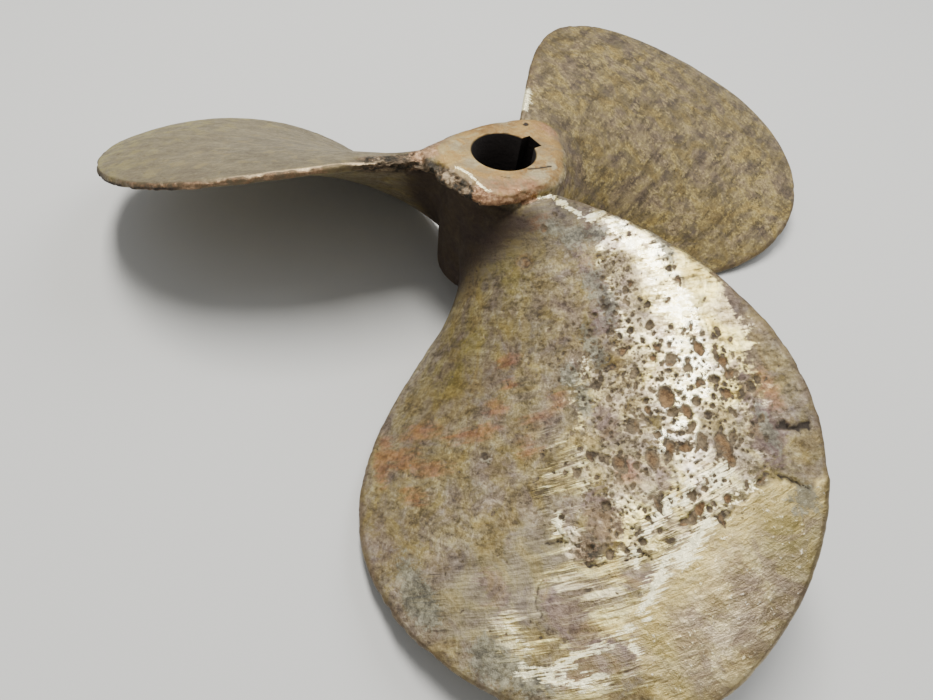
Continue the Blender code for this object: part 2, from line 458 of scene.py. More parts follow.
# Radius, chord, reach along each, and depth of the largest hollows
LARGE_HOLLOWS = (
    (148, 42, 5, 3, 1.1), (175, 55, 6, 3.5, 0.9), (136, 50, 3.2, 2.8, 0.9), (138, 63, 3.2, 2.2, 1),
    (148, 70, 2.4, 1.8, 1.1), (154, 70, 1.9, 2.1, 1.1), (150, 57, 1.9, 2.4, 1), (159, 65, 2.4, 2, 1),
    (163, 76, 2.4, 2, 0.8), (152, 25, 3.6, 2.8, 0.7), (167, 27, 4.5, 2.4, 0.7), (164, 15, 3.8, 3.6, 0.7),
    (170, 48, 4, 2, 0.9), (122, 35, 1.8, 3, 0.8), (191, 37, 1.8, 1.9, 1.3), (198, 43, 2.4, 1.4, 1),
    (192, 48, 2, 2, 1), (193, 30, 1.8, 3, 1.1), (184, 23, 3.6, 1.8, 0.7), (193, 63, 1.3, 2, 1.3),
    (60, 15, 3, 3, 0.8), (191, -6, 2, 1.6, 1.3), (145, -35, 2, 1.6, 0.5), (157, 47, 3.5, 2, 0.8),
    (166, 36, 3.2, 2, 0.8), (169, 41, 1.8, 2.6, 0.9), (142, 70, 1.4, 1.3, 1), (138, 74, 2.2, 1.3, 0.9),
    (104, 69, 1.6, 1.8, 0.8), (110, 70, 1.8, 0.9, 0.7), (114, 61, 0.8, 1.8, 0.8),
    (129, 64, 1.2, 1.2, 0.8), (124, 57, 1.6, 1, 0.7), (131, 44, 1.4, 1.6, 0.9), (128, 47, 2, 1.2, 0.8),
    (149, 33, 1.4, 1.4, 0.9), (181, 55, 2.4, 1.6, 0.8), (98, 50, 1.6, 1.4, 0.7), (50, 31, 2.2, 1.6, 0.9),
    (46, 38, 1.4, 1.2, 0.9), (157, 5, 2.4, 1.4, 0.6), (160, 10, 2, 2, 0.5), (126, 27, 1.6, 1.8, 0.6),
)
# Cracks and gouges as paths of radius and chord, with half width and depth
CRACKS = (
    (((185, -21), (186, -16), (187, -13), (189, -11), (191, -8)), 0.28, 0.6),
    (((181, -16), (183, -14), (185, -15), (187, -14)), 0.25, 0.5),
    (((196, -9), (198, -6), (198, -1)), 0.35, 0.6),
    (((198, 4), (197, 8), (199, 11), (201, 14)), 0.35, 0.7),
    (((199, -28), (205, -31), (211, -31)), 0.3, 0.4), (((187, 91), (184, 84), (180, 79)), 1, 0.9),
    (((205, 79), (200, 76), (197, 73), (194, 69)), 0.35, 0.6),
    (((166, -27), (169, -25), (168, -23)), 0.3, 0.4),
)
# Marks on the hub's top face as paths of x and y from the shaft, with half width and depth
HUB_MARKS = (
    (((8.6, -15.6), (14, -15.3), (20.2, -14.2)), 0.6, 0.5), (((-6, -20.5), (-2, -22)), 0.4, 0.3),
    (((17.2, 22.9), (17.6, 23.2)), 1.2, 0.8), (((18.4, 28.6), (18.9, 28.8)), 0.9, 0.6),
)
# The built-up metal toward the tip rises in two steps: chord, and the radius where each step stands
FIRST_STEP = ((-60, 236), (-35, 227), (-22, 224), (-10, 219), (0, 217), (12, 210), (22, 205), (29, 202),
              (36, 195), (45, 198), (52, 196), (62, 195), (72, 197), (79, 204))
SECOND_STEP = ((-42, 231), (-30, 233), (-20, 234), (-10, 230), (-3, 224), (0, 250))
# Radius, chord, and reach along each, of where pits crowd and where they leave the metal whole
CROWDED = (
    (158, 46, 32, 26), (158, 50, 24, 22), (126, 28, 24, 20), (102, 47, 20, 8), (106, 70, 10, 4),
    (176, 8, 22, 14), (192, 46, 7, 14), (150, 64, 20, 12),
)
WHOLE = ((114, 62, 18, 9), (134, 82, 20, 6), (206, 30, 10, 16))
# Where weld spatter crosses the root, and where pale rings stand
SPATTER = ((57, 18), (62, 14), (70, 8), (76, 1), (84, -5))
RINGS = (
    (146, -35, 2.8), (157, -42, 2), (143, -30, 2.2), (124, 8, 2.4), (196, -14, 1.6), (184, -11, 1.9),
    (191, -6, 2.2),
)


def in_plane(places):
    """Radius and chord as points of a plane, for the random fields."""
    return np.concatenate([places[:, :2], np.zeros((len(places), 1))], axis=1)


def jagged(places, size, reach, seed):
    """Radius and chord pushed about, so that a shape drawn there gets a torn outline."""
    push = [rough(in_plane(places), size, seed + turn) for turn in (0, 50)]
    return places[:, :2] + reach * np.stack(push, axis=1)


def hollows(places, spacing, radii, chance, seed):
    """How deep the round pits go: at most one to a cell, where chance allows one at its middle."""
    cell = np.floor(places / spacing).astype(np.int64)
    deepest = np.zeros(len(places))
    for offset in np.ndindex(3, 3):
        i, j = (cell + np.array(offset) - 1).T
        middle = np.stack([i + scatter(i, j, 1, seed), j + scatter(i, j, 2, seed)], axis=1) * spacing
        radius = radii[0] + (radii[1] - radii[0]) * scatter(i, j, 3, seed) ** 2
        there = scatter(i, j, 4, seed) < chance(middle)
        off = np.hypot(*(places - middle).T) / radius
        depth = radius * (0.45 + 0.40 * scatter(i, j, 5, seed)) * np.sqrt(np.clip(1 - off ** 2, 0, 1))
        deepest = np.maximum(deepest, depth * there)
    return deepest


def large_hollows(places):
    deepest = np.zeros(len(places))
    for radius, chord, long, wide, depth in LARGE_HOLLOWS:
        off = np.hypot((places[:, 0] * 1000 - radius) / long, (places[:, 1] * 1000 - chord) / wide)
        deepest = np.maximum(deepest, depth / 1000 * np.sqrt(np.clip(1 - off ** 2, 0, 1)))
    return deepest


def off_path(places, path):
    """Distance from a path of straight stretches."""
    nearest = np.full(len(places), 1.0)
    for start, end in zip(path, path[1:]):
        start, end = np.array(start) / 1000, np.array(end) / 1000
        run = end - start
        share = np.clip((places - start) @ run / (run @ run), 0, 1)
        nearest = np.minimum(nearest, np.hypot(*(places - start - share[:, None] * run).T))
    return nearest


def grooves(places, table):
    """How deep the grooves of a table go, along its paths."""
    deepest = np.zeros(len(places))
    for path, width, depth in table:
        gap = np.clip(1 - off_path(places, path) * 1000 / width / 1.4, 0, 1)
        deepest = np.maximum(deepest, gap ** 0.7 * depth / 1000)
    return deepest


def cracks(places):
    return grooves(jagged(places, 0.003, 0.0016, 97), CRACKS)


def hub_marks(points):
    return grooves(points[:, :2], HUB_MARKS) * ease(points[:, 2], -0.004, -0.003)


def step_edge(places, steps, width):
    """0 inside of a step, 1 outside of it, with the slope between as wide as width."""
    stands = np.interp(places[:, 1] * 1000, *np.array(steps, float).T) / 1000
    return ease(places[:, 0] - stands, -width / 2, width / 2)


def built_up(places, width):
    return step_edge(jagged(places, 0.006, 0.0022, 71), FIRST_STEP, width)


def heavy_pitting(places):
    return np.clip(spots(places, CROWDED) - spots(places, WHOLE), 0, 1)


def near_face_pits(places):
    flat = jagged(places, 0.0030, 0.0009, 31)
    coarse = hollows(flat, 0.0062, (0.0009, 0.0021), lambda middle: 0.50 * heavy_pitting(middle), 41)
    medium = hollows(flat, 0.0036, (0.0006, 0.0013), lambda middle: 0.70 * heavy_pitting(middle), 42)
    fine = hollows(flat, 0.0023, (0.0004, 0.0008), lambda middle: 0.08 + 0.60 * heavy_pitting(middle), 43)
    depth = np.maximum(np.maximum(coarse, medium), fine) * (1 - built_up(places, 0.001))
    return np.maximum(depth, large_hollows(jagged(places, 0.003, 0.0012, 61)))


def rings(places):
    """Low walls round small marks, as if drops of weld metal had been struck off."""
    flat = jagged(places, 0.0025, 0.0013, 121)
    height = np.zeros(len(places))
    for radius, chord, size in RINGS:
        off = np.hypot(flat[:, 0] * 1000 - radius, flat[:, 1] * 1000 - chord) / size
        height = np.maximum(height, np.exp(-((off - 0.8) / 0.35) ** 2))
    return height * ease(rough(in_plane(places), 0.002, 125), -0.3, 0.5)


def near_face_relief(places):
    solid = in_plane(places)
    relief = 0.0008 * built_up(places, 0.0035)
    relief += 0.0006 * step_edge(jagged(places, 0.006, 0.0022, 71), SECOND_STEP, 0.003)
    relief += 0.00020 * rough(solid, 0.022, 81) + 0.00010 * rough(solid, 0.005, 84)
    slanted = np.stack([solid @ (0.87, -0.5, 0) / 3.2, solid @ (0.5, 0.87, 0) / 14, solid[:, 2]], axis=1)
    relief += 0.00016 * rough(slanted, 0.001, 87, 2) * spot(places, (108, 57), (30, 16))
    spatter = 1 - ease(off_path(jagged(places, 0.004, 0.003, 91), SPATTER), 0, 0.0045)
    relief += 0.0007 * spatter * np.clip(rough(solid, 0.0024, 94, 2), 0, 1)
    relief += 0.0004 * rings(places) - cracks(places)
    return relief - near_face_pits(places)


def light_pitting(places, seed):
    """Sparse shallow pits, as on every other face."""
    flat = jagged(places, 0.003, 0.0005, seed)
    eaten = ease(rough(in_plane(places), 0.04, seed + 3), -0.2, 0.4)
    fine = hollows(flat, 0.0060, (0.0006, 0.0014), lambda middle: 0.45 + 0 * middle[:, 0], seed + 6)
    return 0.45 * fine * eaten


def torn_metal(lie):
    """Where the metal is torn and crumbly: along the hub's lip and at the short blade's root."""
    reach, flat, _ = lip_at(lie.bearing)
    beyond = (lie.radius - flat) / (reach - flat)
    lip = torn_at(lie.bearing, reach) * ease(beyond, 0.25, 0.6) * ease(lie.height, -0.014, -0.009)
    lip *= 1 - ease(lie.radius, reach + 0.001, reach + 0.005)
    root = ease(lie.share, 0.70, 0.88) * between(lie.radius, 0.034, 0.042, 0.062, 0.084)
    return np.maximum(lip, root * (lie.blade == SHORT_BLADE))


def lumpy_root(lie):
    """The lumps on the near blade's high edge beside the hub."""
    along = 1 - ease(off_path(lie.places[:, :2], ((33, 40), (45, 43), (58, 47), (75, 60))), 0.002, 0.008)
    return along * lie.near


def nicks(lie):
    """How deep the blades' thin rims are nicked."""
    rim = ease(np.abs(lie.share), 0.955, 0.99) * lie.on_blade
    ragged = 0.0006 + 0.0012 * (lie.blade == SHORT_BLADE) * (lie.share > 0)
    low = spot(lie.places, (212, -84), (16, 12)) + spot(lie.places, (124, -84), (14, 8))
    ragged += 0.0014 * low * (lie.blade == NEAR_BLADE)
    return rim * ragged * np.clip(rough(lie.points, 0.007, 131) + 0.1, 0, 1)


def relief_of(points):
    """How far the surface stands out or is eaten in, against the smooth casting."""
    lie = Lie(points)
    relief = 0.00022 * rough(points, 0.010, 3, 4)
    relief += lie.on_near_face(near_face_relief) * lie.on_blade
    for blade in range(3):
        for upper in (False, True):
            these = (lie.blade == blade) & (lie.upper == upper) & ~lie.near
            pits = light_pitting(lie.places[these], 200 + 20 * blade + 10 * upper)
            relief[these] -= pits * lie.on_blade[these]
    crumbs = 0.0010 * rough(points, 0.0055, 141, 4) - 0.0018 * np.abs(rough(points, 0.0034, 145, 2))
    relief += crumbs * torn_metal(lie)
    relief += 0.0009 * rough(points, 0.0050, 149, 3) * lumpy_root(lie)
    return relief - nicks(lie) - hub_marks(points)


def worked_finely(points):
    lie = Lie(points)
    fine = lie.on_near_face(lambda places: heavy_pitting(places) + spot(places, (190, -8), (14, 18)))
    hub_top = (lie.radius < 0.052) & (lie.height > -0.011)
    edge = (lie.blade == SHORT_BLADE) & (lie.share > 0.94) & (lie.radius > 0.055) & lie.upper
    return (fine > 0.25) | hub_top | edge


def eat_away(mesh):
    points = points_of(mesh)
    normals = triples(mesh.vertex_normals, "vector")
    move_points(mesh, points + normals * relief_of(points)[:, None])


# The bore and keyway, cut last so that their edges stay crisp

BORE_SIDES = 144
RIM_CHAMFER = 0.0006


def bore_radius(height):
    return (BORE_DIAMETER + BORE_TAPER * height) / 2


def bore_cutter():
    turns = np.linspace(0, 2 * math.pi, BORE_SIDES, endpoint=False)
    profile = [(bore_radius(0) + RIM_CHAMFER + 0.004, 0.004), (bore_radius(0) + RIM_CHAMFER, 0)]
    profile += [(bore_radius(-RIM_CHAMFER), -RIM_CHAMFER), (bore_radius(-0.040), -0.040)]
    profile += [(bore_radius(-HUB_LENGTH - 0.004), -HUB_LENGTH - 0.004)]
    rings = [ring(radius, turns, height) for radius, height in profile]
    return object_of("bore_cutter", closed_mesh("bore_cutter", *shell_of_rings(rings)))


def keyway_cutter():
    side = KEY_WIDTH / 2
    rings = []
    for height in (0.004, 0, -RIM_CHAMFER, -0.040, -HUB_LENGTH - 0.004):
        floor = bore_radius(height) + KEYWAY_DEPTH
        rings.append(np.array([
            (0, -side, height), (floor, -side, height), (floor, side, height), (0, side, height),
        ]))
    mesh = closed_mesh("keyway_cutter", *shell_of_rings(rings))
    mesh.transform(Matrix.Rotation(KEYWAY_BEARING, 4, "Z"))
    return object_of("keyway_cutter", mesh)


def cut_bore(casting):
    for cutter in (bore_cutter(), keyway_cutter()):
        cut = casting.modifiers.new(cutter.name, "BOOLEAN")
        cut.operation = "DIFFERENCE"
        cut.solver = "EXACT"
        cut.object = cutter
        finished_mesh(casting)
        bpy.data.objects.remove(cutter)


# Where each kind of wear lies on the near blade: radius, chord, and reach along each, in millimetres
BARE = (
    (108, 63, 46, 12), (152, 54, 28, 22), (124, 44, 20, 10), (184, 44, 10, 18), (191, 20, 8, 16),
    (174, 20, 16, 12), (62, 54, 9, 3), (124, 79, 26, 7), (186, -13, 6, 5), (158, 12, 14, 8),
    (134, 18, 14, 10), (98, 51, 16, 8),
)
YELLOW = (
    (124, 82, 34, 7), (152, 82, 18, 8), (116, 77, 22, 6), (136, 36, 8, 6), (172, 70, 18, 8),
    (168, 18, 20, 10), (98, 51, 20, 6), (140, 74, 12, 5), (140, 10, 22, 14), (191, 14, 7, 22),
    (165, -8, 14, 8), (208, 0, 10, 12),
)
FILMED = (
    (168, 26, 22, 10), (180, 62, 12, 12), (150, 20, 16, 12), (158, 10, 14, 10), (124, 30, 18, 10),
    (102, 46, 14, 5), (168, 56, 12, 8), (98, 50, 18, 6),
)
BRUSHED = ((206, -6, 14, 18), (162, -6, 14, 8), (186, 27, 10, 7), (227, -18, 9, 24), (214, -44, 8, 5))
SOFTLY_BRUSHED = ((206, -48, 24, 26), (192, -24, 12, 12))
GROUND = (
    (160, -9, 12, 5), (168, -17, 10, 4), (184, 25, 8, 4), (197, 22, 5, 6), (192, 13, 6, 3),
    (205, -70, 12, 8),
)
PURPLE = (
    (226, -14, 6, 11), (206, 8, 5, 6), (184, 4, 8, 7), (213, -20, 7, 6), (176, 0, 8, 5), (206, -26, 7, 4),
    (146, 16, 8, 4), (231, -28, 4, 12), (174, 28, 8, 3), (122, 36, 4, 6), (170, 74, 14, 4),
    (184, 72, 8, 9), (200, -44, 10, 7), (84, 38, 14, 4), (104, 34, 8, 6), (62, 48, 9, 4),
)
ORANGE = (
    (104, -12, 3, 5), (115, -15, 3, 4), (134, -8, 3.5, 7), (125, -25, 4, 5), (134, -40, 3, 12),
    (127, -62, 4, 10), (140, -76, 7, 10), (148, -60, 3, 9), (160, -70, 4, 6), (146, -16, 4, 5),
    (168, 82, 9, 4), (168, 17, 6, 4), (130, 2, 4, 4), (60, 15, 3, 4), (46, 32, 4, 5), (146, -86, 8, 3),
    (133, -84, 6, 3),
)
BLUISH = (
    (38, 44, 6, 3), (69, 48, 6, 5), (62, 40, 5, 5), (86, 38, 8, 5), (101, 37, 9, 5), (224, -52, 9, 8),
    (114, 24, 10, 4), (94, 72, 14, 4), (176, 74, 12, 3), (196, -77, 10, 5), (206, -72, 8, 6),
    (50, 34, 6, 5), (232, -40, 5, 8), (120, 10, 6, 5), (136, 12, 8, 4), (206, 76, 6, 6),
)
GREENISH = (
    (82, -26, 14, 16), (60, 4, 14, 12), (214, 64, 14, 18), (198, 62, 8, 12), (98, -46, 16, 14),
    (226, 4, 12, 5),
)
# Painted highlights on worn bright metal: the ridge that shines from end to end, and worn slivers, as
# paths of radius and chord with half width
RIDGE_HIGHLIGHT = (
    (((60, 51), (66, 57), (80, 60), (100, 64)), 2.4), (((94, 64), (110, 65), (124, 65)), 5),
    (((110, 64), (124, 62), (138, 59), (150, 54)), 6), (((153, 48), (160, 42)), 3),
    (((159, 35), (165, 33)), 2),
)
GLINTS = (
    (((183, 51), (184, 45)), 1.9), (((184, 37), (186, 33)), 1.4),
    (((195, 38), (199, 34), (204, 27)), 2.2), (((204, 26), (203, 18), (207, 14), (212, 9)), 1.7),
    (((212, 9), (217, 4)), 0.8), (((196, 10), (200, 8)), 1.1),
    (((221, -4), (223, -10), (224, -17), (226, -25), (228, -30)), 0.8),
    (((233, -17), (234, -24), (231, -36)), 0.8), (((225, -3), (229, -3)), 0.6),
    (((214, -43), (221, -38)), 0.6), (((177, -14), (182, -15)), 1.2),
    (((184, 29), (189, 20), (192, 15)), 1.5), (((228, -31), (228, -39), (229, -43)), 0.9),
)
# Painted highlight on the slope of the first step of the built-up metal
STEP_SHINE = (
    (((195, 38), (199, 32), (202, 26)), 3.2), (((202, 26), (204, 18), (207, 13)), 2.2),
    (((207, 13), (212, 9), (217, 3)), 1.1),
)
ROOT_HIGHLIGHTS = (
    (((32, 36), (34, 41), (39, 42)), 0.7), (((38, 42), (44, 43), (50, 45), (56, 47)), 0.9),
    (((60, 50), (64, 54)), 0.8),
)
NEAR_FACE_WEAR = {
    "bare": BARE, "yellow": YELLOW, "filmed": FILMED, "brushed": BRUSHED, "softly_brushed": SOFTLY_BRUSHED,
    "ground": GROUND, "purple": PURPLE, "orange": ORANGE, "greenish": GREENISH, "bluish": BLUISH,
}


def store(mesh, name, values):
    kind, key = ("FLOAT_VECTOR", "vector") if values.ndim == 2 else ("FLOAT", "value")
    attribute = mesh.attributes.new(name, kind, "POINT")
    attribute.data.foreach_set(key, values.astype(np.float32).ravel())


def bright_paths(places, table, fade):
    flat = jagged(places, 0.005, 0.0016, 161)
    brightest = np.zeros(len(places))
    for path, width in table:
        brightest = np.maximum(brightest, 1 - ease(off_path(flat, path) * 1000 / width, 0.3, fade))
    return brightest


def hub_glints(lie):
    """Painted highlights on worn metal: the bright edge of the hub's flat face above the torn lip, and a
    flake at the far blade's root.
    """
    _, flat, _ = lip_at(lie.bearing)
    edge = 1 - ease(np.abs(lie.radius - flat - 0.0008), 0.0002, 0.0011)
    edge *= between(lie.degrees, 198, 204, 240, 250) * ease(lie.height, -0.005, -0.003)
    flake = ease(lie.share, 0.95, 0.97) * between(lie.radius, 0.044, 0.047, 0.060, 0.066)
    return np.maximum(edge, flake * (lie.blade == FAR_BLADE))


def lit_edge(lie):
    """A painted highlight: the thin line along the short blade's high edge where its upper face turns over
    into its rim.
    """
    corner = between(lie.share, 0.962, 0.972, 0.978, 0.986) * lie.upper
    corner *= between(lie.radius, 0.055, 0.070, 0.110, 0.150)
    return corner * (lie.blade == SHORT_BLADE)


def coppery(lie):
    """Red-brown metal: under the hub's bright edge, and along the short blade's high edge."""
    reach, flat, _ = lip_at(lie.bearing)
    band = ease(lie.radius - flat, 0.0005, 0.0020) * (1 - ease(lie.radius - reach, 0.000, 0.002))
    band *= between(lie.degrees, 226, 240, 284, 292) * ease(lie.height, -0.008, -0.006)
    slope = ease(lie.radius - flat, -0.001, 0.002) * between(lie.degrees, 135, 150, 176, 190)
    slope *= (1 - ease(lie.radius, 0.044, 0.050)) * ease(lie.height, -0.012, -0.008)
    edge = ease(lie.share, 0.965, 0.985) * between(lie.radius, 0.075, 0.090, 0.180, 0.205)
    return np.maximum(np.maximum(band, 0.55 * slope), 0.55 * edge * (lie.blade == SHORT_BLADE))


# Paler patches on the hub's top face: x and y from the shaft, and radius
PALE_PATCHES = ((-23, 6, 4.5), (-18, -8, 5), (12, -21, 5), (21, -14, 3), (6, 26, 4))
# Rosier places there
ROSY_PATCHES = ((-13, -27, 6), (-3, -30, 7), (7, -29, 6), (29, 20, 7), (33, 12, 5))
# Where the far blade flakes most: radius, chord, and reach along each
FLAKING = ((70, 53, 26, 14), (142, 61, 30, 12), (167, 45, 26, 14), (188, -60, 20, 30), (110, -50, 30, 12))


def patch_border(places):
    """The inner border of the built-up metal, about a centimetre wide."""
    past_step = 1 - step_edge(places - np.array((0.011, 0, 0)), FIRST_STEP, 0.008)
    past_side = 1 - ease(places[:, 1], 0.006, 0.013)
    return np.maximum(past_step, past_side)


def off_outline(lie):
    """About how far inward of its blade's outline a point lies."""
    x = np.minimum(lie.places[:, 0] / TIP_RADIUS, 0.999)
    slope = (half_chord(x + 0.0005) - half_chord(x - 0.0005)) / (0.001 * TIP_RADIUS)
    return (half_chord(x) - np.abs(lie.places[:, 1])) / np.hypot(1, slope)


def edge_shade(lie):
    """Painted shade: the dark broken stretch under the short blade's high edge, and its dark rim toward
    the tip.
    """
    under = ease(lie.radius, 0.150, 0.158) * ease(lie.share, 0.975, 0.99) * ~lie.upper
    tip = ease(lie.radius, 0.194, 0.200) * ease(lie.places[:, 1], -0.040, 0)
    tip *= 0.75 * (1 - ease(off_outline(lie), 0.0009, 0.0017))
    return np.maximum(under, tip) * (lie.blade == SHORT_BLADE)


def hub_fields(lie):
    """What shows on the hub: its top face, painted shade in the hollow of its bore, and painted shade
    round its foot.
    """
    _, flat, _ = lip_at(lie.bearing)
    keyed = np.cos(lie.bearing - KEYWAY_BEARING) > 0.93
    rim = BORE_DIAMETER / 2 + KEYWAY_DEPTH * keyed
    top = ease(lie.height, -0.0036, -0.0018) * (1 - ease(lie.radius, 0.034, 0.044))
    # Painted shade on the hub's side below its lip, except on one side, and on the near blade's root under
    # the lip
    sheltered = 1 - ease(np.cos(lie.bearing + 0.2), 0.60, 0.85)
    under = ease(-lie.height, 0.006, 0.011) * (1 - ease(lie.radius, 0.036, 0.062))
    root_shade = 0.62 * lie.near * (1 - ease(lie.places[:, 1], 0.034, 0.041))
    root_shade *= between(lie.radius, 0.0345, 0.037, 0.040, 0.054) * ease(-lie.height, 0.004, 0.008)
    return {
        "face": top * (1 - ease(lie.radius - flat, 0.002, 0.006)),
        # Painted shade in the bore and keyway
        "painted_bore_shade": (1 - ease(lie.radius, rim + 0.0008, rim + 0.0012)) * ease(-lie.height, 0.0002, 0.0006),
        "blanched": spots(lie.points, PALE_PATCHES),
        "rosy": spots(lie.points, ROSY_PATCHES),
        "painted_shade": np.maximum(under * sheltered, root_shade),
    }


def near_face_fields(lie):
    """What shows on the near blade's upper face, besides what its tables hold."""
    def floors(places):
        return ease(large_hollows(jagged(places, 0.003, 0.0012, 61)), 0.0004, 0.0008)

    def patch(places):
        return built_up(places, 0.002) * ease(places[:, 1], -0.006, -0.002)

    # Painted highlights on worn slivers and on the step's slope
    def shining(places):
        return np.maximum(bright_paths(places, GLINTS, 2.6), bright_paths(places, STEP_SHINE, 1.1))

    # Painted highlight along the ridge and on the root's slivers, over worn bright metal
    def ridge_highlight(places):
        return np.maximum(bright_paths(places, RIDGE_HIGHLIGHT, 1.7), 0.9 * bright_paths(places, ROOT_HIGHLIGHTS, 1.7))

    near = lie.on_near_face
    return {
        "eaten": near(heavy_pitting) * lie.on_blade,
        "pit": near(lambda places: ease(near_face_pits(places), 0.00004, 0.0004)) * lie.on_blade,
        "ochre": near(floors),
        "split": near(lambda places: ease(cracks(places), 0.0001, 0.0005)),
        "ringed": near(rings),
        "patch": near(patch),
        "bordering": near(patch_border),
        "ridge_highlight": near(ridge_highlight),
        # Painted highlights, also on the hub's bright edge and a flake at the far blade's root
        "glint": np.maximum(near(shining), hub_glints(lie)),
        # A painted halo of light round the glints, which also widens the brushed metal
        "brushing_and_highlight_halo": near(lambda places: bright_paths(places, GLINTS, 5.5)),
        "torn": np.maximum(torn_metal(lie), near(lambda places: spot(places, (192, -7), (6, 6)))),
        # Painted shade: the near blade's root beside the hub is darkened, and made duller
        "dulled_and_shaded_root": lie.near * lie.on_blade * (1 - ease(lie.radius, 0.052, 0.072)),
    }


def other_fields(lie):
    """What shows on the other blades, on the rims, and in marks and coppery places."""
    far, short = lie.blade == FAR_BLADE, lie.blade == SHORT_BLADE
    return {
        "coppery": coppery(lie),
        "lit_edge": lit_edge(lie),
        # Marks on the hub's top face, and painted shade at the short blade's high edge
        "marks_and_edge_shade": np.maximum(ease(hub_marks(lie.points), 0.0001, 0.0003), edge_shade(lie)),
        "grazed": far * ease(lie.radius, 0.035, 0.055),
        "flaking": far * spots(lie.places, FLAKING) * lie.upper,
        "pale": short * ease(lie.radius, 0.045, 0.075),
        "yellowed": short * ease(lie.radius, 0.150, 0.225) * lie.upper,
        "rim": ease(np.abs(lie.share), 0.955, 0.985) * lie.on_blade,
    }


def paint(mesh):
    """Stores where each kind of wear, painted highlight and painted shade lies, and gives back the names
    of the kinds.
    """
    lie = Lie(points_of(mesh))
    fields = {
        name: lie.on_near_face(lambda places: spots(places, table)) * lie.on_blade
        for name, table in NEAR_FACE_WEAR.items()
    }
    fields |= near_face_fields(lie) | hub_fields(lie) | other_fields(lie)
    for name, values in fields.items():
        store(mesh, name, values)
    face = (lie.blade + 3 * lie.upper) * 0.5
    store(mesh, "lay", np.stack([lie.places[:, 0], lie.places[:, 1], face], axis=1))
    return list(fields)


# The finish

def shade(red, green, blue):
    """A colour as it is picked on a screen, made linear."""
    return tuple((channel / 255) ** 2.2 for channel in (red, green, blue)) + (1,)


class Finish:
    """A material whose nodes are made one call at a time; each call gives back an output socket."""

    def __init__(self, name):
        self.material = bpy.data.materials.new(name)
        self.material.use_nodes = True
        self.tree = self.material.node_tree
        self.shader = self.tree.nodes["Principled BSDF"]

    def node(self, kind, inputs, output=0, **settings):
        made = self.tree.nodes.new(kind)
        for name, value in settings.items():
            setattr(made, name, value)
        for key, value in inputs.items():
            self.give(made.inputs[key], value)
        return made.outputs[output]

    def give(self, socket, value):
        if isinstance(value, bpy.types.NodeSocket):
            self.tree.links.new(value, socket)
        else:
            socket.default_value = value

    def attribute(self, name, output="Fac"):
        return self.node("ShaderNodeAttribute", {}, output, attribute_name=name)

    def noise(self, place, size, detail=4, roughness=0.6, distortion=0.0):
        inputs = {"Vector": place, "Scale": 1 / size, "Detail": detail, "Roughness": roughness}
        return self.node("ShaderNodeTexNoise", inputs | {"Distortion": distortion}, "Fac")

    def cells(self, place, size):
        return self.node("ShaderNodeTexVoronoi", {"Vector": place, "Scale": 1 / size}, "Distance")

    def stretch(self, place, scale):
        return self.node("ShaderNodeMapping", {"Vector": place, "Scale": scale}, vector_type="POINT")

    def slant(self, place, degrees, size):
        """A place turned by an angle, and measured in cells of that size."""
        inputs = {"Vector": place, "Rotation": (0, 0, math.radians(degrees)), "Scale": size}
        return self.node("ShaderNodeMapping", inputs, vector_type="TEXTURE")

    def math(self, operation, a, b, clamp=False):
        return self.node("ShaderNodeMath", {0: a, 1: b}, operation=operation, use_clamp=clamp)

    def times(self, a, b):
        return self.math("MULTIPLY", a, b)

    def larger(self, a, b):
        return self.math("MAXIMUM", a, b)

    def ease(self, value, start, end, low=0.0, high=1.0):
        inputs = {"Value": value, "From Min": start, "From Max": end, "To Min": low, "To Max": high}
        return self.node("ShaderNodeMapRange", inputs, interpolation_type="SMOOTHSTEP")

    def patchy(self, mask, noise, spread=3.0, edge=0.10):
        """A mask whose soft border is broken up by a noise; nothing where the mask is 0."""
        push = self.times(self.math("SUBTRACT", noise, 0.5), spread)
        broken = self.ease(self.math("ADD", mask, push), 0.5 - edge, 0.5 + edge)
        return self.times(broken, self.ease(mask, 0.02, 0.25))

    def ramp(self, value, *stops):
        """Colours that follow one another as the value rises: stops of value, red, green and blue."""
        made = self.tree.nodes.new("ShaderNodeValToRGB")
        elements = made.color_ramp.elements
        stops = [(position, shade(*colour)) for position, *colour in stops]
        elements[0].position, elements[0].color = stops[0]
        elements[1].position, elements[1].color = stops[-1]
        for position, colour in stops[1:-1]:
            elements.new(position).color = colour
        self.give(made.inputs["Fac"], value)
        return made.outputs["Color"]

    def mix(self, share, a, b, blend="MIX"):
        return self.node("ShaderNodeMix", {0: share, 6: a, 7: b}, 2, data_type="RGBA", blend_type=blend)

    def blend(self, share, a, b):
        return self.node("ShaderNodeMix", {0: share, 2: a, 3: b}, 0, data_type="FLOAT")

    def bump(self, height, distance, strength=1.0, normal=None):
        inputs = {"Height": height, "Distance": distance, "Strength": strength}
        if normal:
            inputs["Normal"] = normal
        return self.node("ShaderNodeBump", inputs)


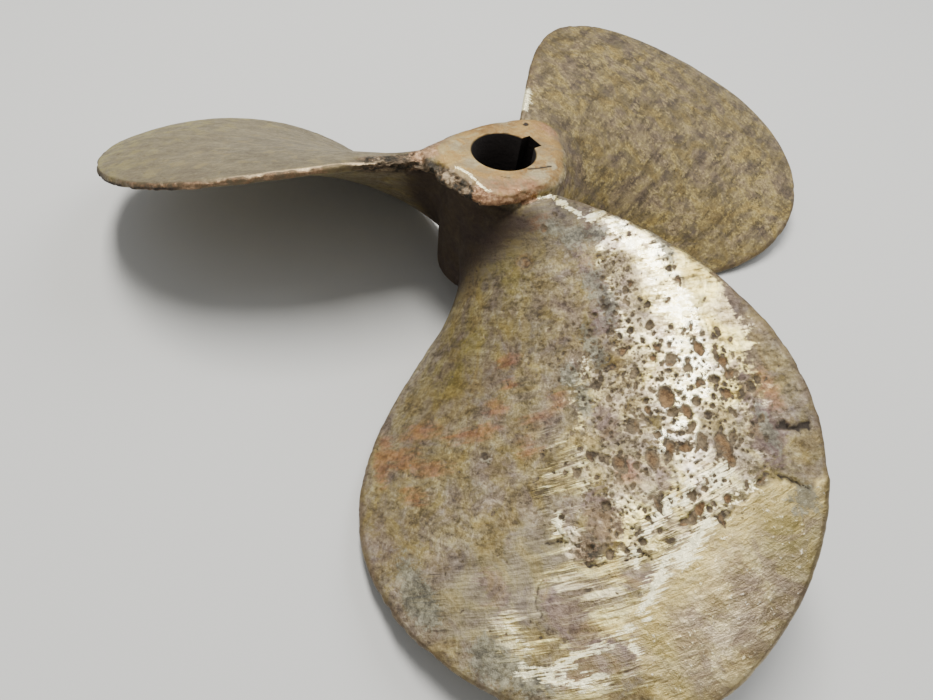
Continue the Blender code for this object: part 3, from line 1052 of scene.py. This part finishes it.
def worn_bronze(kinds):
    f = Finish("worn_bronze")
    lay = f.attribute("lay", "Vector")
    place = f.node("ShaderNodeTexCoord", {}, "Object")
    worn = {name: f.attribute(name) for name in kinds}

    broad = f.noise(place, 0.040, 4)
    hue = f.noise(f.stretch(place, (1.3, 1, 1.2)), 0.013, 5, 0.6, 0.5)
    blotch = f.noise(place, 0.0085, 6, 0.68, 0.3)
    fleck = f.noise(place, 0.0020, 5, 0.7)
    speck = f.noise(f.stretch(place, (1, 1, 1.5)), 0.0034, 4, 0.75)
    film = f.noise(f.stretch(place, (1, 1, 1.7)), 0.016, 6, 0.64, 0.8)
    tinge = f.noise(f.stretch(place, (1, 1.1, 1.6)), 0.019, 6, 0.66, 0.9)
    strokes = f.noise(f.stretch(lay, (1900, 120, 1)), 1, 3, 0.6)
    wide_strokes = f.noise(f.stretch(lay, (420, 45, 1)), 1, 5, 0.62, 0.3)
    slanted = f.noise(f.slant(lay, 62, (0.012, 0.0026, 1)), 1, 5, 0.62)
    grazing = f.noise(f.slant(lay, 14, (0.024, 0.0060, 1)), 1, 7, 0.70)
    lengthwise = f.noise(f.stretch(lay, (20, 90, 1)), 1, 6, 0.6, 0.2)
    tone = f.blend(0.5, blotch, fleck)
    streaky = f.blend(0.5, tone, wide_strokes)

    # Patina
    shape = f.blend(0.25, tone, slanted)
    olive = f.ramp(
        shape, (0.42, 84, 75, 57), (0.46, 110, 98, 74), (0.50, 130, 117, 89), (0.54, 148, 135, 104),
        (0.59, 178, 166, 130))
    golden = f.ramp(shape, (0.42, 106, 92, 56), (0.50, 140, 124, 80), (0.60, 172, 155, 106))
    brown = f.ramp(shape, (0.42, 86, 73, 56), (0.50, 120, 104, 80), (0.60, 148, 132, 102))
    grey = f.ramp(shape, (0.42, 86, 78, 68), (0.50, 114, 104, 88), (0.60, 146, 136, 114))
    olive = f.mix(f.ease(broad, 0.44, 0.60, 0, 0.7), olive, brown)
    olive = f.mix(f.ease(hue, 0.50, 0.60, 0, 0.7), olive, golden)
    olive = f.mix(f.ease(f.blend(0.4, film, tone), 0.52, 0.58, 0, 0.6), olive, grey)
    olive = f.mix(f.times(worn["greenish"], f.ease(hue, 0.40, 0.60, 0.1, 0.8)), olive, f.ramp(
        shape, (0.42, 96, 87, 48), (0.50, 128, 116, 68), (0.60, 160, 147, 94)))
    far = f.ramp(
        f.blend(0.5, grazing, tone), (0.43, 82, 71, 50), (0.47, 103, 90, 64), (0.51, 118, 103, 72),
        (0.56, 135, 119, 82))
    flakes = f.blend(0.5, f.blend(0.45, grazing, hue), speck)
    flakes = f.math("ADD", flakes, f.times(f.math("SUBTRACT", worn["flaking"], 0.3), 0.035))
    far = f.mix(f.ease(flakes, 0.505, 0.535, 0, 0.9), far, f.ramp(
        fleck, (0.42, 132, 115, 74), (0.58, 172, 153, 102)))
    far = f.mix(f.ease(film, 0.54, 0.60, 0, 0.6), far, shade(88, 78, 60))
    olive = f.mix(worn["grazed"], olive, far)
    olive = f.mix(f.ease(speck, 0.585, 0.67, 0, 0.55), olive, shade(78, 68, 54))
    beige = f.ramp(
        f.blend(0.65, lengthwise, tone), (0.40, 104, 94, 74), (0.46, 118, 108, 85), (0.52, 130, 119, 93),
        (0.60, 146, 134, 102))
    beige = f.mix(f.ease(hue, 0.52, 0.62, 0, 0.6), beige, shade(150, 136, 94))
    beige = f.mix(f.ease(film, 0.51, 0.60, 0, 0.5), beige, shade(116, 104, 84))
    yellowing = f.times(worn["yellowed"], f.ease(hue, 0.44, 0.58, 0.1, 0.8))
    beige = f.mix(yellowing, beige, shade(154, 144, 94))
    colour = f.mix(worn["pale"], olive, beige)

    # Metal worn bare, brushed and filmed over, with painted highlights
    metal = f.ramp(
        f.blend(0.45, tone, slanted), (0.41, 118, 106, 78), (0.46, 166, 152, 112), (0.51, 214, 202, 160),
        (0.58, 246, 238, 200))
    metal = f.mix(f.times(worn["yellow"], 0.85), metal, f.ramp(
        f.blend(0.5, tone, slanted), (0.42, 112, 99, 60), (0.48, 158, 144, 92), (0.58, 214, 199, 134)))
    is_filmed = f.patchy(worn["filmed"], f.blend(0.5, hue, blotch), 4.0, 0.25)
    metal = f.mix(f.times(is_filmed, 0.8), metal, f.ramp(
        tone, (0.42, 92, 82, 66), (0.50, 132, 118, 94), (0.58, 184, 167, 132)))
    is_bare = f.patchy(worn["bare"], f.blend(0.6, blotch, f.blend(0.6, fleck, slanted)), 4.8, 0.10)
    colour = f.mix(is_bare, colour, metal)
    soft_metal = f.ramp(f.blend(0.5, strokes, wide_strokes), (0.42, 112, 102, 80), (0.58, 160, 149, 118))
    is_soft = f.patchy(worn["softly_brushed"], streaky, 3.4, 0.4)
    colour = f.mix(f.times(is_soft, 0.8), colour, soft_metal)
    brushed_metal = f.ramp(
        f.blend(0.5, strokes, wide_strokes), (0.43, 102, 90, 72), (0.47, 146, 131, 98),
        (0.52, 190, 175, 126), (0.57, 236, 225, 174))
    # Painted halo: brushed metal made paler and golden round the painted glints
    painted_halo = f.times(worn["brushing_and_highlight_halo"], f.ease(strokes, 0.44, 0.54))
    brushed_metal = f.mix(painted_halo, brushed_metal, shade(222, 208, 150))
    is_brushed = f.patchy(f.larger(worn["brushed"], worn["brushing_and_highlight_halo"]), wide_strokes, 4.6, 0.3)
    colour = f.mix(f.times(is_brushed, 0.9), colour, brushed_metal)
    scored = f.times(f.patchy(worn["ground"], wide_strokes, 3.0, 0.3), f.ease(strokes, 0.48, 0.54))
    colour = f.mix(f.times(scored, 0.9), colour, shade(70, 60, 46))
    built_up = f.ramp(
        f.blend(0.5, wide_strokes, blotch), (0.43, 148, 132, 98), (0.50, 188, 170, 130),
        (0.57, 220, 203, 158))
    built_up = f.mix(f.ease(strokes, 0.54, 0.62, 0, 0.5), built_up, shade(132, 112, 88))
    built_up = f.mix(f.times(worn["greenish"], 0.9), built_up, f.ramp(
        tone, (0.42, 130, 118, 74), (0.58, 158, 144, 98)))
    built_up = f.mix(f.ease(film, 0.52, 0.57, 0, 0.55), built_up, shade(134, 117, 100))
    border = f.times(worn["bordering"], f.ease(f.blend(0.5, tone, hue), 0.40, 0.50, 0.4, 0.9))
    built_up = f.mix(border, built_up, f.ramp(
        f.blend(0.5, slanted, strokes), (0.43, 148, 131, 84), (0.50, 184, 165, 110),
        (0.57, 206, 188, 132)))
    built_up = f.mix(f.ease(fleck, 0.61, 0.66), built_up, shade(236, 226, 190))
    across = f.node("ShaderNodeSeparateXYZ", {"Vector": lay}, "Y")
    built_up = f.mix(1.0, built_up, f.ease(across, 0.015, 0.070, 1.05, 0.86), "MULTIPLY")
    colour = f.mix(worn["patch"], colour, built_up)
    is_purple = f.patchy(worn["purple"], f.blend(0.5, film, wide_strokes), 4.2, 0.14)
    colour = f.mix(f.times(is_purple, 0.8), colour, f.ramp(
        tone, (0.42, 98, 81, 70), (0.58, 142, 121, 104)))
    is_orange = f.patchy(worn["orange"], f.blend(0.5, f.blend(0.5, hue, fleck), wide_strokes), 5.0, 0.5)
    colour = f.mix(f.times(is_orange, 0.66), colour, f.ramp(
        tone, (0.42, 108, 72, 46), (0.58, 164, 112, 72)))
    tinted = f.mix(f.blend(worn["patch"], 0.85, 0.45), colour, f.ramp(
        tinge, (0.38, 227.8, 222.4, 252.7), (0.46, 246.7, 244.3, 252.7), (0.50, 255, 255, 255),
        (0.54, 255, 252.7, 230.4), (0.62, 255, 245.5, 205.2)), "MULTIPLY")
    colour = f.mix(worn["pale"], tinted, colour)
    # Painted shade at the near blade's root: its colour is darkened there
    colour = f.mix(f.times(worn["dulled_and_shaded_root"], 0.9), colour, (0.60, 0.60, 0.60, 1), "MULTIPLY")
    is_bluish = f.patchy(worn["bluish"], f.blend(0.5, hue, fleck), 4.2, 0.25)
    colour = f.mix(f.times(is_bluish, 0.75), colour, f.ramp(
        tone, (0.42, 74, 73, 65), (0.50, 104, 102, 88), (0.58, 138, 135, 114)))
    # Painted highlight: the ridge and the root's slivers are painted near white, over worn bright metal
    painted_ridge_highlight = f.patchy(worn["ridge_highlight"], f.blend(0.4, slanted, fleck), 6.0, 0.16)
    # Painted highlights: the glints, the step's slope and the hub's bright edge are painted near white in
    # brush strokes
    stroked_highlight = f.patchy(worn["glint"], f.blend(0.35, strokes, fleck), 6.0, 0.12)
    glinting = f.larger(painted_ridge_highlight, stroked_highlight)
    lit_metal = f.ramp(
        f.blend(0.5, tone, slanted), (0.42, 190, 174, 118), (0.48, 228, 216, 162), (0.53, 250, 245, 214))
    # Painted highlight: the cores of the glints go to near white
    brightest = f.ease(worn["glint"], 0.70, 0.98, 0.04, 0.14)
    stroke_light = f.math("ADD", f.blend(0.3, strokes, tone), brightest)
    lit_strokes = f.ramp(stroke_light, (0.48, 148, 130, 80), (0.53, 214, 196, 132), (0.58, 253, 245, 200))
    colour = f.mix(painted_ridge_highlight, colour, lit_metal)
    on_ring = f.times(worn["ringed"], f.ease(fleck, 0.42, 0.56, 0, 0.7))
    colour = f.mix(on_ring, colour, shade(172, 168, 146))

    # Hub face, torn metal and rims, and painted highlights
    face = f.ramp(
        f.blend(0.6, tone, broad), (0.43, 132, 102, 60), (0.50, 158, 126, 74), (0.57, 170, 143, 88))
    face = f.mix(f.ease(film, 0.54, 0.62, 0, 0.6), face, shade(174, 157, 114))
    face = f.mix(f.patchy(worn["blanched"], tone, 4.0, 0.4), face, shade(168, 154, 118))
    face = f.mix(f.times(f.patchy(worn["rosy"], tone, 3.0, 0.4), 0.8), face, f.ramp(
        tone, (0.43, 128, 92, 66), (0.57, 170, 128, 96)))
    face = f.mix(f.ease(tinge, 0.50, 0.40, 0, 0.6), face, shade(138, 122, 92))
    colour = f.mix(worn["face"], colour, face)
    crumbs = f.ramp(
        f.blend(0.4, blotch, fleck), (0.42, 36, 32, 25), (0.48, 66, 60, 48), (0.53, 102, 84, 64),
        (0.60, 152, 134, 106))
    colour = f.mix(f.patchy(worn["torn"], tone, 3.0, 0.3), colour, crumbs)
    colour = f.mix(f.patchy(worn["coppery"], tone, 2.4, 0.2), colour, f.ramp(
        tone, (0.42, 108, 78, 56), (0.50, 152, 116, 84), (0.58, 194, 158, 122)))
    is_rim = f.patchy(worn["rim"], tone, 2.4, 0.2)
    colour = f.mix(f.times(is_rim, 0.5), colour, shade(90, 74, 54))
    # Painted highlights laid over the rest
    colour = f.mix(stroked_highlight, colour, lit_strokes)
    # Painted highlight along the short blade's high edge
    painted_edge_highlight = f.times(worn["lit_edge"], f.ease(tone, 0.42, 0.52, 0.45, 0.95))
    colour = f.mix(painted_edge_highlight, colour, shade(226, 200, 156))

    # Pits, cracks and marks, and painted shade
    fine_pits = f.ease(f.cells(place, 0.0026), 0.25, 0.18)
    fine_pits = f.times(fine_pits, f.patchy(worn["eaten"], blotch, 4.0, 0.2))
    is_pit = f.larger(f.patchy(worn["pit"], fleck, 1.6, 0.2), f.times(fine_pits, 0.75))
    pit_floor = f.ramp(tone, (0.42, 66, 57, 46), (0.50, 98, 86, 68), (0.60, 138, 120, 92))
    pit_floor = f.mix(f.times(worn["ochre"], f.ease(hue, 0.44, 0.54, 0, 0.85)), pit_floor, f.ramp(
        fleck, (0.42, 98, 74, 48), (0.58, 142, 110, 72)))
    colour = f.mix(is_pit, colour, pit_floor)
    # Dark cracks and marks, and painted shade under and along the short blade's high edge
    split = f.larger(worn["split"], worn["marks_and_edge_shade"])
    colour = f.mix(split, colour, shade(50, 42, 34))
    # Painted shade on the hub's side and at the near blade's root
    painted_shade_mask = f.patchy(worn["painted_shade"], tone, 2.0, 0.4)
    colour = f.mix(f.times(painted_shade_mask, 0.9), colour, shade(46, 32, 24))
    # Painted shade inside the bore
    colour = f.mix(worn["painted_bore_shade"], colour, shade(26, 18, 14))

    dull = f.larger(f.larger(is_pit, split), f.larger(painted_shade_mask, worn["painted_bore_shade"]))
    bright = f.times(is_bare, f.math("SUBTRACT", 1.0, f.times(is_filmed, 0.7)))
    bright = f.times(bright, 0.85)
    shine = f.larger(bright, f.larger(glinting, f.times(is_brushed, 0.6)))
    metallic = f.blend(shine, 0.50, 1.0)
    metallic = f.blend(worn["patch"], metallic, 0.85)
    metallic = f.blend(f.larger(is_bluish, f.larger(is_purple, is_orange)), metallic, 0.4)
    metallic = f.blend(painted_ridge_highlight, metallic, 1.0)
    metallic = f.blend(f.times(worn["dulled_and_shaded_root"], 0.8), metallic, 0.1)
    metallic = f.blend(stroked_highlight, metallic, 0.45)
    metallic = f.blend(dull, metallic, 0.1)
    gloss = f.blend(shine, f.ease(tone, 0.42, 0.58, 0.60, 0.48), f.ease(tone, 0.42, 0.58, 0.38, 0.24))
    built_gloss = f.ease(strokes, 0.3, 0.7, 0.36, 0.48)
    gloss = f.blend(f.math("SUBTRACT", worn["patch"], glinting, True), gloss, built_gloss)
    gloss = f.blend(f.math("SUBTRACT", worn["dulled_and_shaded_root"], stroked_highlight, True), gloss, 0.65)
    gloss = f.blend(dull, gloss, 0.85)

    grain = f.math("ADD", f.times(fleck, 0.7), f.times(blotch, 1.2))
    grain = f.math("SUBTRACT", grain, f.times(fine_pits, 0.5))
    relief = f.bump(grain, 0.0007, f.blend(bright, 0.9, 0.45))
    stroked = f.larger(is_brushed, f.times(worn["patch"], 0.6))
    relief = f.bump(f.times(strokes, stroked), 0.0003, 0.6, relief)

    f.give(f.shader.inputs["Base Color"], colour)
    f.give(f.shader.inputs["Metallic"], metallic)
    f.give(f.shader.inputs["Roughness"], gloss)
    f.give(f.shader.inputs["Normal"], relief)
    return f.material


def make_casting():
    casting = object_of("propeller_casting", blanks())
    cast_in_one(casting)
    soften(casting.data)
    eat_away(casting.data)
    thin_out(casting)
    cut_bore(casting)
    kinds = paint(casting.data)
    casting.data.transform(Matrix.Translation(SHAFT_AXIS))
    casting.data.shade_smooth()
    casting.data.set_sharp_from_angle(angle=math.radians(60))
    casting.data.materials.append(worn_bronze(kinds))
    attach(casting, "root")
    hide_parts("propeller")


# The studio

def floor_finish():
    f = Finish("pale_floor")
    f.shader.inputs["Base Color"].default_value = shade(205, 205, 202)
    f.shader.inputs["Roughness"].default_value = 0.8
    return f.material


def set_floor():
    bm = bmesh.new()
    bmesh.ops.create_grid(bm, x_segments=1, y_segments=1, size=6)
    mesh = bpy.data.meshes.new("floor")
    bm.to_mesh(mesh)
    bm.free()
    mesh.materials.append(floor_finish())
    object_of("floor", mesh)


def set_light(name, aim, azimuth, elevation, distance, size, watts, tint=(1, 1, 1)):
    """An area light that looks at aim from that azimuth and elevation; size is across and along."""
    light = bpy.data.lights.new(name, "AREA")
    light.shape = "RECTANGLE"
    light.size, light.size_y = size
    light.energy = watts
    light.color = tint
    thing = object_of(name, light)
    way = Matrix.Rotation(math.radians(-elevation), 3, "Y") @ Vector((1, 0, 0))
    way = Matrix.Rotation(math.radians(azimuth), 3, "Z") @ way
    thing.location = Vector(aim) + way * distance
    thing.rotation_euler = way.to_track_quat("Z", "Y").to_euler()


def set_studio():
    set_light("ceiling_strip", (0, -0.08, 0.03), 97, 72, 1.5, (0.30, 0.90), 32, (1, 0.98, 0.94))
    set_light("side_window", (0, 0, 0.03), 20, 45, 2.2, (1.6, 1.2), 22, (0.95, 0.97, 1))
    world = bpy.data.worlds.new("studio")
    world.use_nodes = True
    background = world.node_tree.nodes["Background"]
    background.inputs["Color"].default_value = (0.78, 0.79, 0.80, 1)
    background.inputs["Strength"].default_value = 0.50
    bpy.context.scene.world = world


def set_camera():
    camera = object_of("camera", bpy.data.cameras.new("camera"))
    camera.data.lens = FOCAL_LENGTH
    camera.data.sensor_width = SENSOR_WIDTH
    place = Matrix.Translation(SHAFT_AXIS) @ Matrix.Rotation(CAMERA_TURN, 4, "Z")
    place = place @ Matrix.Translation(CAMERA_PLACE) @ Matrix.Rotation(CAMERA_TILT, 4, "X")
    camera.matrix_world = place @ Matrix.Rotation(CAMERA_ROLL, 4, "Z")
    bpy.context.scene.camera = camera


make_casting()
set_floor()
set_studio()
set_camera()
